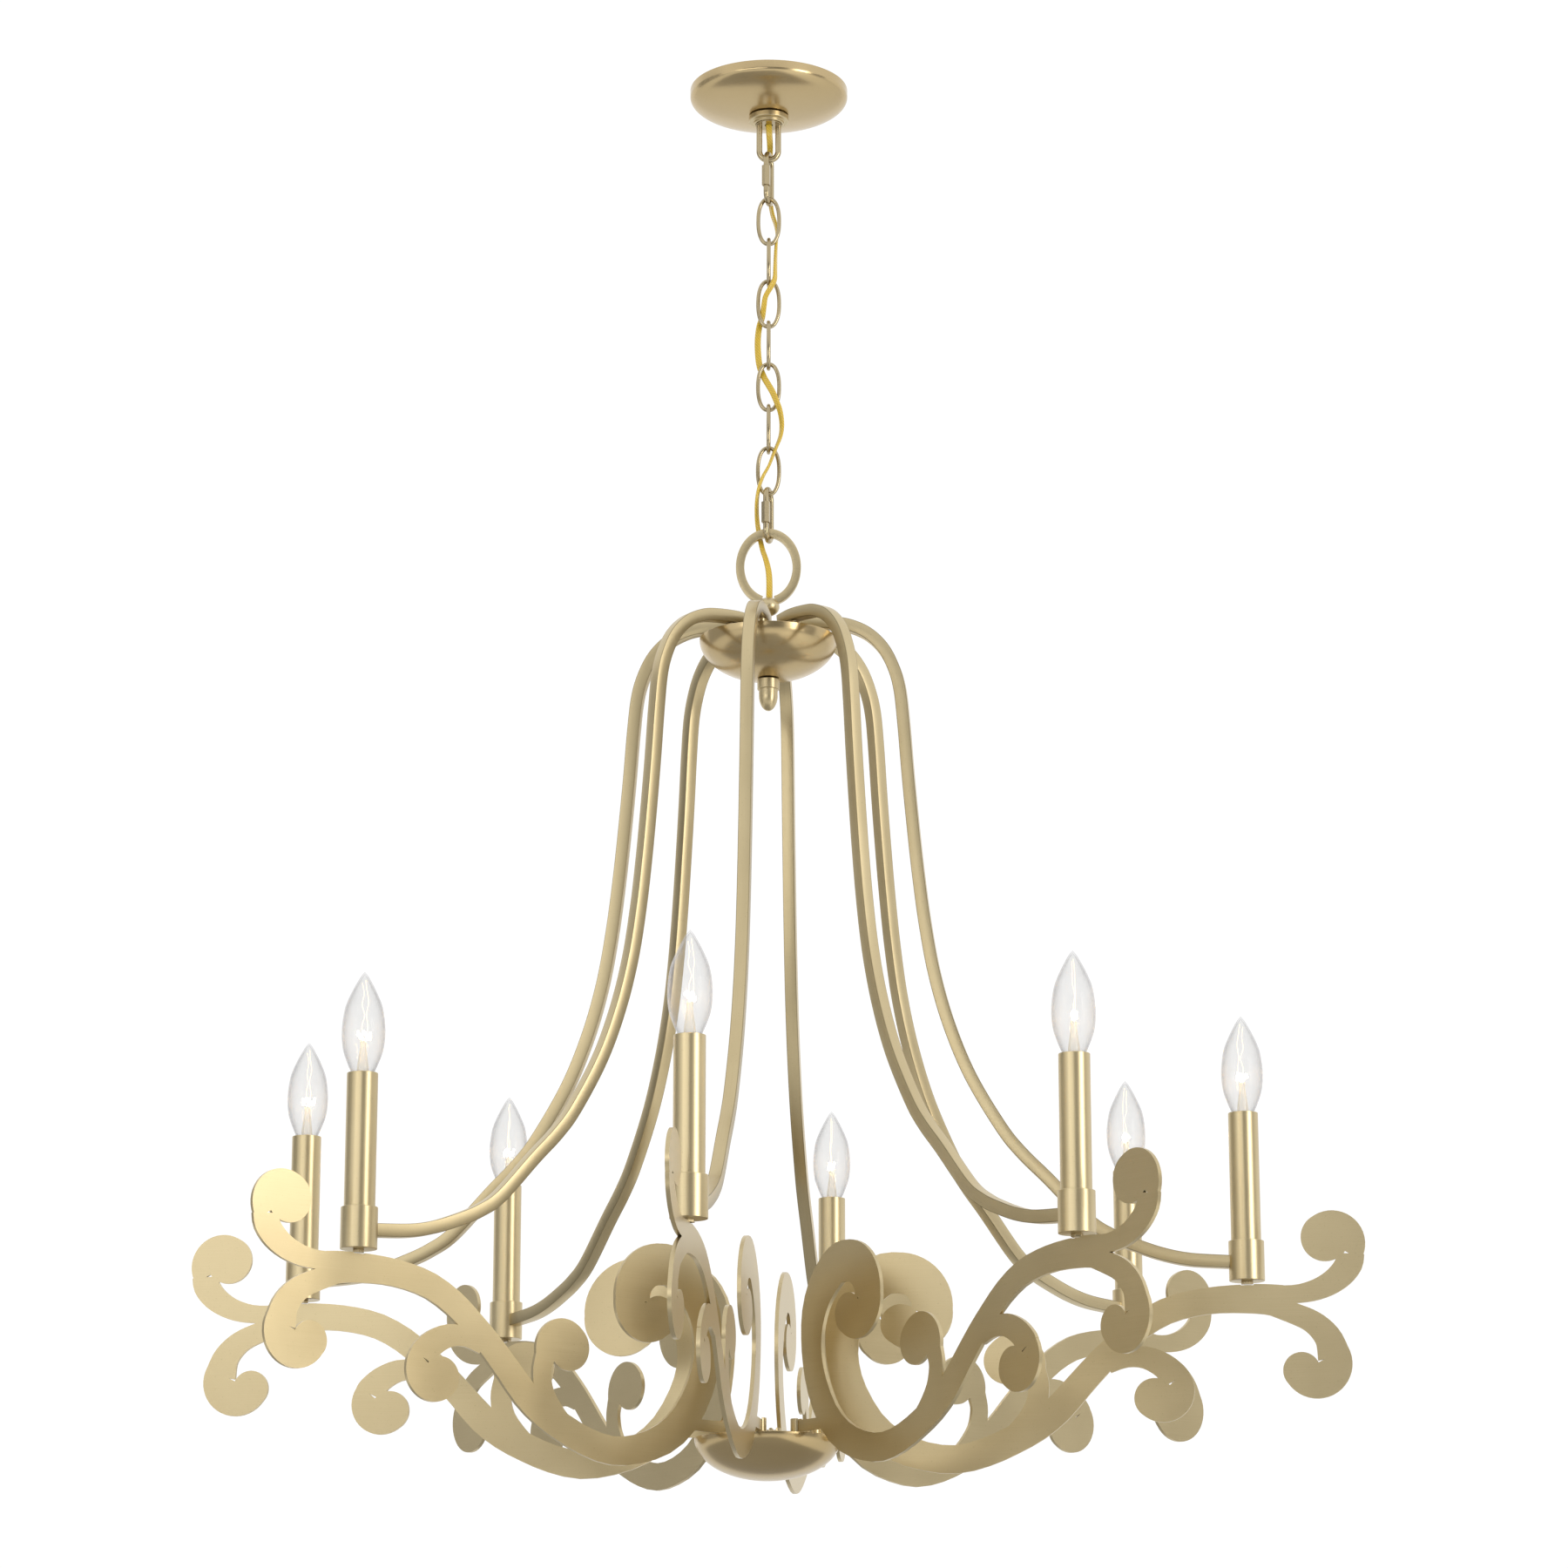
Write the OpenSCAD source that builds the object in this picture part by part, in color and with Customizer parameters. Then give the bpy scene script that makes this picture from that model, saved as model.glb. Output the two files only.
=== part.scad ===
// Eight-light candle chandelier hung by a chain from a ceiling canopy.
// The origin is the centre of the canopy on the ceiling plane and +Z is up, so the fitting hangs in -Z.

/* [Canopy] */
// Diameter of the canopy at the ceiling
canopy_d = 127; // [120:1:135]
// Depth of the canopy below the ceiling
canopy_h = 22.2; // [21:0.1:24]
// Thickness of the spun sheet of the canopy and the two bowls
sheet_t = 1.2; // [1:0.1:1.4]
// Distance between the two screw slots of the crossbar
box_screws = 88.9; // [84:0.1:94]

/* [Chain] */
// Turn of the chain and of the hanging ring about the vertical, in degrees
chain_turn = 9; // [0:1:18]
// Turn of the quick links from the plane of the edge-on chain links, in degrees
quick_turn = -16; // [-20:1:0]
// Length of one chain link
link_l = 41.8; // [41:0.1:42.5]
// Width of one chain link
link_w = 20; // [19:0.5:21]
// Wire diameter of one chain link
link_wire = 3.2; // [3:0.1:3.4]
// Length of a quick link
quick_l = 46.5; // [45:0.5:48]
// Wire diameter of a quick link
quick_wire = 4.2; // [4:0.1:4.4]

/* [Hanging ring] */
// Width of the oval ring over the fixture
ring_w = 51.2; // [49:0.2:54]
// Height of the oval ring
ring_h = 62.6; // [60:0.2:65]

/* [Arms and candles] */
// Side of the square tube of an arm
bar = 9.5; // [9:0.1:10]
// Wall of the square tube
bar_wall = 1.2; // [1:0.1:1.5]
// Radius of the circle that the candles stand on
candle_r = 361; // [357:1:365]
// Diameter of a candle cup
cup_d = 26.6; // [26:0.1:28]
// Height of a candle cup
cup_h = 30; // [28:0.5:32]
// Diameter of a candle sleeve
sleeve_d = 22.4; // [22:0.1:22.8]
// Height of a sleeve's top over the cup's underside
sleeve_top = 126.7; // [125:0.1:130]

/* [Scrolls and bowls] */
// Thickness of a scroll plate
plate_t = 3; // [2.5:0.1:3.5]
// Rim diameter of the hub bowl
hub_bowl_d = 108; // [107:0.5:110]
// Depth of the hub bowl
hub_bowl_h = 32.4; // [32:0.1:34]
// Rim diameter of the lower bowl
low_bowl_d = 110; // [109:0.5:112]
// Depth of the lower bowl
low_bowl_h = 31.5; // [31:0.1:33]

/* [Hidden] */
$fn = 64;
arms = 8;
step = 360 / arms;
links = 7;
gap = 0.3;                                  // clearance between hinged pieces
brass = [0.78, 0.70, 0.53];
pale_brass = [0.83, 0.77, 0.62];
steel = [0.7, 0.7, 0.7];

// the chain stack, from the ceiling down
neck_r = 10.2;
loop_wire = 4.8;
loop_leg = 7.6;
loop_bottom = -canopy_h - 40.1;
quick_top = loop_bottom + loop_wire + quick_wire + gap;
first_link = quick_top - quick_l + quick_wire + link_wire + gap;
link_pitch = link_l - 2 * link_wire - gap;
low_quick_top = first_link - (links - 1) * link_pitch - link_l + link_wire + quick_wire + gap;
ring_face = 7;
ring_top = low_quick_top - quick_l + quick_wire + ring_face + gap;

// the fixture, from the underside of the candle cups
cup_z = ring_top - 602.5;
ring_z = cup_z + 602.5 - ring_h / 2;
ball_z = cup_z + 538.8;
hub_rim = cup_z + 512;
hub_low = hub_rim - hub_bowl_h;
hub_plate_top = hub_rim - 0.5;
hub_plate_t = 2.5;
arm_screw_r = 36;
low_rim = cup_z - 111;
post_r = 36;
low_plate_t = 2;

// the power cord's route: across, away and height, in the plane of the face-on chain links
cord_d = 4;
cord_route = [
    [0, 0, -24], [0, 0, -31], [0.5, 1, -39], [1, 5, -46], [1, 11, -53], [1, 14, -62], [1, 14.5, -76],
    [1.5, 14, -90], [3, 11, -102], [5.5, 7, -112], [6.7, 5, -121], [6, 3.5, -132], [5.5, 1, -143],
    [5.2, -2.5, -154], [4.7, -5.2, -164], [1.2, -6, -171.5], [-2.5, -4, -178], [-3.8, -0.5, -185],
    [-5, 3.2, -192.5], [-7.5, 5, -201], [-8.6, 5.2, -212], [-8.3, 5.2, -224], [-7, 5, -234], [-4, 3, -243],
    [-0.5, 0, -250.5], [3, -3.2, -258], [6, -4.8, -266], [9, -4.8, -274.5], [10.5, -3.5, -285],
    [9.5, -3.5, -295], [6, -4.8, -305], [3, -5.2, -313], [0, -5.2, -321], [-4, -5, -328.5],
    [-6.8, -4.8, -336], [-8.6, -4.2, -344], [-9.3, -1.5, -353], [-9, 2.5, -362], [-8, 5.2, -370],
    [-6.5, 5.8, -378], [-4.5, 5.2, -387], [-1.8, 3.2, -396], [0.2, 1.2, -406], [0.8, 0.3, -417],
    [0.6, 0, -431]];

// a smooth curve through the rows of p, each a point and, if it has one, a width, with n steps a span
function between(a, b, c, d, t) =
    0.5 * (2 * b + (c - a) * t + (2 * a - 5 * b + 4 * c - d) * t * t + (3 * b - a - 3 * c + d) * t * t * t);
function smooth(p, n) = concat(
    [for (i = [0:len(p) - 2], k = [0:n - 1])
        between(p[max(i - 1, 0)], p[i], p[i + 1], p[min(i + 2, len(p) - 1)], k / n)],
    [p[len(p) - 1]]);
function along(q, i) =
    let (a = q[max(i - 1, 0)], b = q[min(i + 1, len(q) - 1)], d = [b[0] - a[0], b[1] - a[1]]) d / norm(d);
// the line beside the curve q, s half-widths to its left
function edge(q, s) = [for (i = [0:len(q) - 1])
    let (t = along(q, i), w = s * q[i][2] / 2) [q[i][0] - w * t[1], q[i][1] + w * t[0]]];
function back(v) = [for (i = [len(v) - 1:-1:0]) v[i]];
function arc(c, r, a, b, n) = [for (i = [0:n]) let (t = a + (b - a) * i / n) c + r * [cos(t), sin(t)]];

// a band of changing width along a smooth curve through [across, up, width] rows
module ribbon(p, n = 3) {
    q = smooth(p, n);
    polygon(concat(edge(q, 1), back(edge(q, -1))));
}
// the curled end of a band: a slice of a disc from just before angle a to b, closed by a round lobe at its edge
module curl(c, r, a, b, lobe_r) {
    polygon(concat([c], arc(c, r, a - 12 * sign(b - a), b, ceil(abs(b - a) / 8))));
    translate(c + (r - lobe_r + 0.3) * [cos(b), sin(b)]) circle(lobe_r);
}
// stands a drawing of across and up in the vertical plane at the angle a, with the thickness t
module upright(a, t) {
    rotate([0, 0, a]) translate([0, t / 2, 0]) rotate([90, 0, 0]) linear_extrude(t) children();
}
module around(r) {
    for (k = [0:arms - 1]) rotate([0, 0, k * step]) translate([r, 0, 0]) children();
}
module tube(r, bore, h) {
    difference() {
        cylinder(r = r, h = h);
        translate([0, 0, -1]) cylinder(r = bore, h = h + 2);
    }
}
module hex_nut(r, bore, h) {
    difference() {
        cylinder(r = r, h = h, $fn = 6);
        translate([0, 0, -1]) cylinder(r = bore, h = h + 2);
    }
}
// an oval wire link in the plane across and up, hung down from its top at z = 0
module oval(l, w, wire) {
    r = w / 2 - wire / 2;
    straight = l - w;
    translate([0, 0, -w / 2]) rotate([90, 0, 0])
        rotate_extrude(angle = 180) translate([r, 0]) circle(d = wire);
    translate([0, 0, -w / 2 - straight]) rotate([-90, 0, 0])
        rotate_extrude(angle = 180) translate([r, 0]) circle(d = wire);
    for (s = [-1, 1]) translate([s * r, 0, -w / 2 - straight]) cylinder(d = wire, h = straight);
}
// a quarter of an ellipse, from the rim at z = 0 down to the axis, as a turning profile
function bowl_side(a, b) = [for (i = [0:14]) let (t = 90 * i / 14) [a * cos(t), -b * sin(t)]];
module bowl(d, h, hole) {
    difference() {
        rotate_extrude() polygon(concat(bowl_side(d / 2, h), back(bowl_side(d / 2 - sheet_t, h - sheet_t))));
        if (hole > 0) translate([0, 0, -h - 1]) cylinder(r = hole, h = h);
    }
}

module crossbar() color(steel) difference() {
    translate([-55, -10, -2]) cube([110, 20, 2]);
    for (s = [-1, 1]) translate([s * box_screws / 2, 0, -3]) {
        for (e = [-4.7, 4.7]) translate([e, 0, 0]) cylinder(r = 2.3, h = 4);
        translate([-4.7, -2.3, 0]) cube([9.4, 4.6, 4]);
    }
    translate([0, 0, -3]) cylinder(r = 5.1, h = 4);
    translate([22, 0, -3]) cylinder(r = 1.7, h = 4);
}
module ground_screw() color([0.2, 0.5, 0.3]) translate([22, 0, 0]) {
    translate([0, 0, -3.6]) cylinder(r = 3.2, h = 1.6);
    translate([0, 0, -2.5]) cylinder(r = 1.65, h = 2.4);
}
module canopy_nipple() color(steel) translate([0, 0, -20]) tube(5, 3.6, 19.5);
module nipple_nut() color(steel) translate([0, 0, -5]) hex_nut(8, 5.05, 3);
// a low rim, then a shallow dish that ends at the hole for the loop's neck
module canopy() color(brass) {
    rim = 6;
    hole = neck_r + 0.4;
    r = canopy_d / 2;
    last = acos(hole / r);
    depth = (canopy_h - rim) / sin(last);
    outside = [for (i = [0:14]) let (t = last * i / 14) [r * cos(t), -rim - depth * sin(t)]];
    inside = [for (i = [0:14]) let (t = last * i / 14)
        [hole + (r - sheet_t - hole) * (r * cos(t) - hole) / (r - hole), sheet_t - rim - depth * sin(t)]];
    rotate_extrude() polygon(concat([[r, 0]], outside, back(inside), [[r - sheet_t, 0]]));
}
// a threaded neck with the loop below it
module canopy_loop() color(brass) difference() {
    union() {
        translate([0, 0, -canopy_h - 7.8]) cylinder(r = neck_r, h = 15);
        rotate([0, 0, chain_turn]) {
            translate([0, 0, loop_bottom + loop_wire / 2 + loop_leg]) rotate([-90, 0, 0])
                rotate_extrude(angle = 180) translate([loop_leg, 0]) circle(d = loop_wire);
            for (s = [-1, 1]) translate([s * loop_leg, 0, loop_bottom + loop_wire / 2 + loop_leg])
                cylinder(d = loop_wire, h = 24);
        }
    }
    translate([0, 0, -canopy_h - 9]) cylinder(r = 3.2, h = 30);
    translate([0, 0, -20.1]) cylinder(r = 5.02, h = 20);
}
module wire_nuts() color([0.85, 0.5, 0.2]) {
    for (p = [[-22, -24], [4, -24], [-9, -38]]) translate([p[0], p[1], -9]) rotate([0, 90, 0]) {
        cylinder(r = 4.5, h = 9);
        translate([0, 0, 9]) cylinder(r1 = 4.5, r2 = 3, h = 9);
    }
}
// a flange that carries the canopy and a smaller hub below it, screwed onto the neck
module collar_ring() color(brass) difference() {
    union() {
        translate([0, 0, -canopy_h - 5]) cylinder(r = 16, h = 4.7);
        translate([0, 0, -canopy_h - 7.3]) cylinder(r = 12.2, h = 4);
    }
    translate([0, 0, -canopy_h - 8]) cylinder(r = neck_r + 0.1, h = 9);
}

// a quick link: the gap in one leg is bridged by its nut
module quick_link(top) color(pale_brass)
    translate([0, 0, top]) rotate([0, 0, chain_turn + 90 + quick_turn]) difference() {
        oval(quick_l, link_w, quick_wire);
        translate([-link_w / 2 - 1, -4, -quick_l / 2 - 7.5]) cube([6.2, 8, 3.6]);
    }
module quick_nut(top) color(pale_brass)
    translate([0, 0, top]) rotate([0, 0, chain_turn + 90 + quick_turn])
        translate([quick_wire / 2 - link_w / 2, 0, -quick_l / 2 - 8.5]) hex_nut(3.6, quick_wire / 2 + 0.1, 17);
module quick_link_top() quick_link(quick_top);
module quick_link_top_nut() quick_nut(quick_top);
module quick_link_bottom() quick_link(low_quick_top);
module quick_link_bottom_nut() quick_nut(low_quick_top);
module chain_link(k) color(pale_brass)
    translate([0, 0, first_link - (k - 1) * link_pitch])
        rotate([0, 0, chain_turn + (k % 2 == 0 ? 90 : 0)]) oval(link_l, link_w, link_wire);

// a round tube along the cord's route, with eight sides
module power_cord() color([0.85, 0.65, 0.15]) {
    c = cos(chain_turn);
    s = sin(chain_turn);
    p = [for (q = cord_route) [q[0] * c - q[1] * s, q[0] * s + q[1] * c, q[2]]];
    n = len(p);
    sides = 8;
    ring = [for (i = [0:n - 1])
        let (d = p[min(i + 1, n - 1)] - p[max(i - 1, 0)], t = d / norm(d),
             w = cross(t, [0, 1, 0]), u = w / norm(w), v = cross(t, u))
        for (j = [0:sides - 1]) let (a = 360 * j / sides) p[i] + cord_d / 2 * (cos(a) * u + sin(a) * v)];
    polyhedron(ring, concat(
        [[for (j = [0:sides - 1]) j]],
        [for (i = [0:n - 2], j = [0:sides - 1]) let (a = i * sides, b = (j + 1) % sides)
            [a + j, a + sides + j, a + sides + b, a + b]],
        [[for (j = [sides - 1:-1:0]) (n - 1) * sides + j]]));
}

// an upright oval band whose lower end is let into the ball
module hanging_ring() color(brass) difference() {
    a = ring_w / 2;
    b = ring_h / 2;
    translate([0, 0, ring_z]) upright(chain_turn, 5) difference() {
        polygon([for (i = [0:71]) [a * cos(5 * i), b * sin(5 * i)]]);
        polygon([for (i = [0:71]) [(a - ring_face) * cos(5 * i), (b - ring_face + 0.6) * sin(5 * i)]]);
    }
    translate([0, 0, ball_z]) ball(8.72, 7.52);
    translate([0, 0, ball_z]) cylinder(r = 3.2, h = 12);
}
module ball(a, b) {
    rotate_extrude() polygon([for (i = [0:16]) let (t = -90 + 180 * i / 16) [a * cos(t), b * sin(t)]]);
}
module hub_ball() color(brass) translate([0, 0, ball_z]) difference() {
    ball(8.7, 7.5);
    translate([0, 0, 2]) cylinder(r = 2.6, h = 8);
    translate([0, 0, -9]) cylinder(r = 2.52, h = 9);
}
module hub_rod() color(pale_brass) translate([0, 0, hub_low - 10]) cylinder(r = 2.5, h = ball_z - hub_low + 9);
module hub_nuts() color(steel) {
    translate([0, 0, hub_plate_top + 0.02]) hex_nut(5.5, 2.52, 3.5);
    translate([0, 0, hub_low + sheet_t + 0.25]) hex_nut(5.5, 2.52, 3.5);
}
module hub_plate() color(brass) translate([0, 0, hub_plate_top - hub_plate_t]) difference() {
    cylinder(r = hub_bowl_d / 2 - sheet_t - 0.4, h = hub_plate_t);
    translate([0, 0, -1]) cylinder(r = 2.55, h = 5);
    around(arm_screw_r) translate([0, 0, -1]) cylinder(r = 2, h = 5);
}
module hub_bowl() color(brass) translate([0, 0, hub_rim]) bowl(hub_bowl_d, hub_bowl_h, 2.55);
// a screw head under the plate, a shank into the arm and a spacer that the arm stands on
module arm_screws() color(steel) around(arm_screw_r) {
    low = hub_plate_top - hub_plate_t;
    translate([0, 0, low - 2.2]) cylinder(r = 3.6, h = 2.2);
    translate([0, 0, low - 0.5]) cylinder(r = 1.9, h = cup_z + 522 - low);
    translate([0, 0, hub_plate_top]) cylinder(r = 4, h = cup_z + 518.5 - hub_plate_top);
}
module finial() color(brass) translate([0, 0, hub_low - 0.3]) difference() {
    rotate_extrude() polygon(concat(
        [[0, 0], [8.2, 0], [8.6, -0.4], [8.6, -7.6], [8.2, -8], [7.4, -8]],
        [for (i = [1:12]) let (t = 7.5 * i) [7.4 * cos(t), -12.5 - 12.6 * sin(t)]]));
    translate([0, 0, -12]) cylinder(r = 2.56, h = 13);
}

// the middle line of an arm: distance from the axis, and height over the cups' underside
function arm_line() = smooth([
    [17.5, 522.5], [32, 524], [50, 523], [64, 520.5], [78.5, 513.5], [90.5, 501.5], [98.5, 486], [103.5, 468],
    [106.5, 440], [109.5, 400], [113, 360], [117, 320], [122, 280], [129, 240], [140, 200], [156, 160],
    [179, 120], [194.5, 100], [214, 80], [243.5, 48.5], [262, 36], [280, 28], [300, 21], [320, 16.8],
    [352, 14.3]], 2);
module arm(k) color(brass) {
    q = [for (p = arm_line()) [p[0], p[1], bar]];
    hollow = [for (p = q) [p[0], p[1], bar - 2 * bar_wall]];
    ends = edge(hollow, 1);
    lows = edge(hollow, -1);
    translate([0, 0, cup_z]) rotate([0, 0, (k - 1) * step]) difference() {
        upright(0, bar) polygon(concat(edge(q, 1), back(edge(q, -1))));
        upright(0, bar - 2 * bar_wall)
            polygon(concat([ends[0] - [2, 0.2]], ends, back(lows), [lows[0] - [2, 0.2]]));
        translate([candle_r, 0, -1]) cylinder(d = cup_d + 0.02, h = cup_h + 2);
        translate([arm_screw_r, 0, 515]) cylinder(r = 2, h = 8);
    }
}

// one scroll plate, drawn as distance from the axis and height over the cups' underside
module scroll_outline() {
    // the stem, from the outer fork under the candle, along the bottom and up the inner side
    ribbon([[386, -15.5, 24], [374, -13.8, 22.5], [360, -13.2, 21.4], [340, -13.5, 20], [320, -16, 19.5],
            [300, -21.5, 19.5], [281, -32, 19.5], [265, -45, 19.5], [250, -59, 20], [235, -75, 20.5],
            [219, -92.5, 21.5], [202.5, -105.5, 21.5], [184, -115.5, 21.3], [164, -124, 21],
            [142, -128.8, 21], [119, -126.2, 21.3], [96, -117.5, 23.2], [77, -101.5, 24.3], [63.5, -78, 24],
            [57.7, -58, 23.6], [56.5, -41, 25.2], [59, -24, 28.7], [66.5, -8, 31.3], [79, 5, 32.5],
            [90, 11, 31.5], [99.5, 11.5, 31]], 2);
    // the head of the inner side, a wide hook that ends in a round lobe
    polygon(concat(arc([99.5, -14], 41, 92, -14, 14), arc([99.5, -14], 10, -14, 92, 12)));
    polygon(concat([[112, -19]], arc([112, -19], 28.5, 25, -152, 22)));
    translate([101, -27.5]) circle(15.3);
    // the branch above the stem, turned inwards
    ribbon([[180, -118, 17], [192, -107, 18], [201.5, -92, 16.5], [204.5, -77, 15.5], [203, -68, 16],
            [201, -62.5, 17]]);
    curl([186.5, -59], 23.5, -20, 153, 17.4);
    // the branch below the stem
    ribbon([[256, -60, 14], [270, -55.5, 14.3], [284, -55.5, 16.5], [297, -61.5, 18.8], [304.5, -69, 21.5],
            [306.7, -72.5, 22]]);
    curl([297, -80.5], 23.2, 28, -141, 15);
    // the upper and the lower curl of the outer fork
    ribbon([[370, -11, 15], [394, -10.5, 13.5], [408, -8.5, 15], [420, -4, 17], [430, 3, 19],
            [436.5, 11.5, 20.3], [437.8, 19, 20.6]]);
    curl([424.5, 27], 24.6, -20, 137, 18);
    ribbon([[374, -16.5, 15], [393, -24, 15.5], [405.5, -29.5, 16.6], [414, -36, 18.4], [420.5, -45, 20.8],
            [423.8, -57.5, 24.6]]);
    curl([411, -62], 26, 15, -155, 13.8);
    // the tab that reaches the lower post
    translate([33.5, -109.5]) square([38, 8.5]);
}
module scroll(k) color(brass) translate([0, 0, cup_z]) difference() {
    upright((k - 1) * step, plate_t) scroll_outline();
    rotate([0, 0, (k - 1) * step]) translate([candle_r, 0, -3.2]) cylinder(r = 5, h = 20);
}

module candle_cups() color(brass) translate([0, 0, cup_z]) around(candle_r) difference() {
    cylinder(d = cup_d, h = cup_h);
    translate([0, 0, 2]) cylinder(d = cup_d - 3, h = cup_h);
    translate([0, 0, -1]) cylinder(r = 2.6, h = 4);
}
module candle_sleeves() color(brass) translate([0, 0, cup_z + 2.02]) around(candle_r)
    tube(sleeve_d / 2, sleeve_d / 2 - 1, sleeve_top - 2.02);
module candle_sockets() color([0.9, 0.88, 0.82]) translate([0, 0, cup_z]) around(candle_r) difference() {
    union() {
        translate([0, 0, 2.02]) cylinder(r = 5, h = 6.5);
        translate([0, 0, 8]) cylinder(r = 8.6, h = 114);
    }
    translate([0, 0, 1]) cylinder(r = 2.6, h = 8);
    translate([0, 0, 104]) cylinder(r = 6.7, h = 20);
}
module cup_studs() color(steel) translate([0, 0, cup_z]) around(candle_r) {
    translate([0, 0, -2.5]) cylinder(r = 2.4, h = 8.5);
    translate([0, 0, -2.5]) cylinder(r = 4.5, h = 2.48, $fn = 6);
}
// a hollow glass drop, drawn as radius and height over the sleeve, with a cap below it
module bulb(k) color([0.95, 0.95, 0.92, 0.4]) {
    wall = 0.8;
    glass = smooth([[8, 0], [10.6, 5.7], [13.9, 14.6], [15.3, 22], [15.7, 29.5], [15.2, 38], [13.3, 48.8],
                    [9, 59.2], [5.1, 66.7], [2.5, 71.1], [0, 74.1]], 2);
    inner = [for (p = glass) [max(p[0] - wall, 0), p[1] * (74.1 - wall) / 74.1]];
    translate([0, 0, cup_z + sleeve_top]) rotate([0, 0, (k - 1) * step]) translate([candle_r, 0, 0]) {
        rotate_extrude() polygon(concat([[6, -3.5]], glass, back([for (p = inner) if (p[0] > 0) p]),
            [[5.2, -3.5]]));
        translate([0, 0, -18.7]) cylinder(r = 6.2, h = 15.4);
    }
}

module lower_plate() color(brass) translate([0, 0, low_rim - 0.5 - low_plate_t]) difference() {
    cylinder(r = low_bowl_d / 2 - sheet_t - 0.5, h = low_plate_t);
    translate([0, 0, -1]) cylinder(r = 3.02, h = 4);
}
module lower_bowl() color(brass) translate([0, 0, low_rim]) bowl(low_bowl_d, low_bowl_h, 0);
module lower_posts() color(brass) around(post_r) translate([0, 0, low_rim - 0.5]) difference() {
    cylinder(r = 4.5, h = 12);
    translate([-6, -plate_t / 2 - 0.05, 1.8]) cube([12, plate_t + 0.1, 12]);
}
module lower_stud() color(steel) {
    translate([0, 0, low_rim - low_bowl_h + sheet_t + 0.12]) cylinder(r = 3, h = 36.4);
    translate([0, 0, low_rim - 0.48]) cylinder(r = 5.5, h = 4, $fn = 6);
}

crossbar();
ground_screw();
canopy_nipple();
nipple_nut();
canopy();
canopy_loop();
wire_nuts();
collar_ring();
quick_link_top();
quick_link_top_nut();
for (k = [1:links]) chain_link(k);
quick_link_bottom();
quick_link_bottom_nut();
power_cord();
hanging_ring();
hub_ball();
hub_rod();
hub_nuts();
hub_plate();
hub_bowl();
arm_screws();
finial();
for (k = [1:arms]) arm(k);
for (k = [1:arms]) scroll(k);
for (k = [1:arms]) bulb(k);
candle_cups();
candle_sleeves();
candle_sockets();
cup_studs();
lower_plate();
lower_bowl();
lower_posts();
lower_stud();
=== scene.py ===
import math

import bmesh
import bpy
import numpy as np
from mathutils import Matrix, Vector


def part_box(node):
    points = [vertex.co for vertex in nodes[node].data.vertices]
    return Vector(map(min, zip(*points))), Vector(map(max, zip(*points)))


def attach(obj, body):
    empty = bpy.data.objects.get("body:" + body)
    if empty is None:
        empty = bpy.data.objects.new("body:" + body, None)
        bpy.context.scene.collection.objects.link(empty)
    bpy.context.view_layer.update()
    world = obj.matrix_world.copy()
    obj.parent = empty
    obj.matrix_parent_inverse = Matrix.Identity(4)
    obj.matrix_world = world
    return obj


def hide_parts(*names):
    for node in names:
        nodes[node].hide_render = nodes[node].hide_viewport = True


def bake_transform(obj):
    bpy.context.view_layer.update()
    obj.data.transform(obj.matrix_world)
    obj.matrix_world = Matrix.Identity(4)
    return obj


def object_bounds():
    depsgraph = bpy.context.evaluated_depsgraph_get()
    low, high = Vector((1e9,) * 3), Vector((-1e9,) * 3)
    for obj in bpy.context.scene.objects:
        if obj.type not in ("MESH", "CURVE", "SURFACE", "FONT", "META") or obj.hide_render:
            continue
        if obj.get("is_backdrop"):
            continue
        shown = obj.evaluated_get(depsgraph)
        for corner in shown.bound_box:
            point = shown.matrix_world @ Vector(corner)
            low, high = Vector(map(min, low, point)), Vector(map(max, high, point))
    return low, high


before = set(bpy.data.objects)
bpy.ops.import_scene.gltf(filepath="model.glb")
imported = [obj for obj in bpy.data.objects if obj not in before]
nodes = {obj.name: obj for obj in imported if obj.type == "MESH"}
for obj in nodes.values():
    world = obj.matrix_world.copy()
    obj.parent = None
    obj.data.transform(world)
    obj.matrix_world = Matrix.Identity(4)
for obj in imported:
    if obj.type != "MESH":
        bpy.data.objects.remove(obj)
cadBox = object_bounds()
armCount, linkCount = 8, 7
armStep = 360 / armCount
# heights are counted from the underside of the candle cups
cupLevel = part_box("candle_cups")[0][2]
print("frame loaded, cups at", round(cupLevel, 4))

# camera, low and from the front, a little to the left
cameraLook = {"place": (0.5039, -3.3499, -1.4394), "heading": 8.347, "pitch": 14.256, "lens": 103.2,
              "sensor": 36.0}


def makeCamera(look):
    data = bpy.data.cameras.new("camera")
    data.lens, data.sensor_width = look["lens"], look["sensor"]
    camera = bpy.data.objects.new("camera", data)
    bpy.context.scene.collection.objects.link(camera)
    camera.location = look["place"]
    camera.rotation_euler = (math.radians(90 + look["pitch"]), 0, math.radians(look["heading"]))
    bpy.context.scene.camera = camera


makeCamera(cameraLook)


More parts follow.
